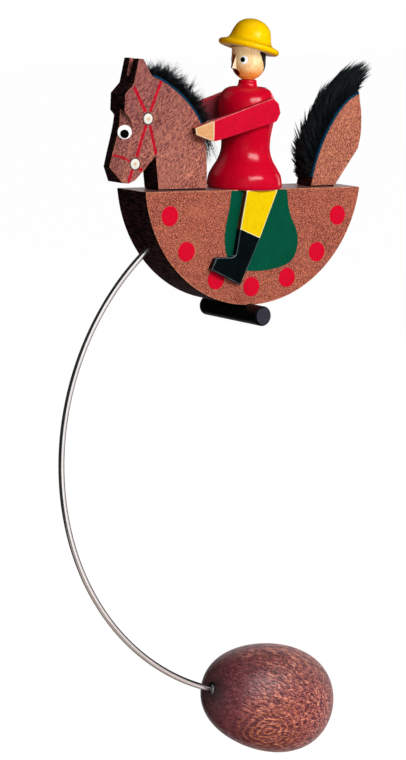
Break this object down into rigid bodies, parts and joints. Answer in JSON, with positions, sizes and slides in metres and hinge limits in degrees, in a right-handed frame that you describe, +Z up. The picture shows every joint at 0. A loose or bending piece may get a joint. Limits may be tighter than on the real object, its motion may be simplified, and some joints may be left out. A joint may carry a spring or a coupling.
{
  "type": "balancing toy",
  "caption": "Wooden rocking-horse rider that stands on a dowel at a shelf's edge and is kept upright by a wooden egg on a long bent wire.",
  "frame": {"origin": "on the axis of the pivot dowel, halfway along it", "axes": "+Z up, -X the way the horse looks, +Y along the dowel towards the horse's right"},
  "size_m": [0.1857, 0.056, 0.3814],
  "materials": {
    "dowel_black": "black paint, satin",
    "rocker_wood": "brown stain, matt",
    "horse_wood": "brown stain, matt",
    "steel": "bright drawn wire",
    "stud_white": "white paint, worn",
    "leather_blue": "dyed dark blue",
    "hair_black": "dyed black fur",
    "eye_white": "gloss white",
    "eye_clear": "clear",
    "pupil_black": "gloss black",
    "peg_wood": "bare",
    "torso_red": "gloss red lacquer",
    "face_wood": "clear lacquer",
    "hat_yellow": "gloss yellow lacquer",
    "arm_red": "satin red paint",
    "leg_paint": "yellow and black paint",
    "egg_wood": "dark brown stain, satin"
  },
  "bodies": {
    "pivot": {"pivot_dowel": "dowel_black"},
    "left_pupil": {"left_pupil": "pupil_black"},
    "right_pupil": {"right_pupil": "pupil_black"},
    "toy": {"rocker": "rocker_wood", "horse_head": "horse_wood", "neck_pins": "steel", "bridle_studs": "stud_white", "mane_leather": "leather_blue", "mane_hair": "hair_black", "left_eye_back": "eye_white", "left_eye_dome": "eye_clear", "right_eye_back": "eye_white", "right_eye_dome": "eye_clear", "tail_block": "horse_wood", "tail_pegs": "peg_wood", "tail_leather": "leather_blue", "tail_hair": "hair_black", "rider_torso": "torso_red", "rider_peg": "peg_wood", "rider_head": "face_wood", "rider_neck_peg": "peg_wood", "rider_nose": "face_wood", "rider_hat": "hat_yellow", "left_arm": "arm_red", "right_arm": "arm_red", "left_leg": "leg_paint", "right_leg": "leg_paint", "balance_wire": "steel", "counterweight_egg": "egg_wood"}
  },
  "joints": [
    {"name": "rock", "type": "hinge", "parent": "pivot", "child": "toy", "pos_m": [0, 0, 0], "axis": [0, 1, 0], "range_deg": [-25, 25]},
    {"name": "left_pupil_turn", "type": "hinge", "parent": "toy", "child": "left_pupil", "pos_m": [-0.06911, -0.0046, 0.09408], "axis": [-0.4847, -0.866, 0.1227], "continuous": true},
    {"name": "right_pupil_turn", "type": "hinge", "parent": "toy", "child": "right_pupil", "pos_m": [-0.06802, 0.00525, 0.0938], "axis": [-0.4847, 0.866, 0.1227], "continuous": true}
  ]
}
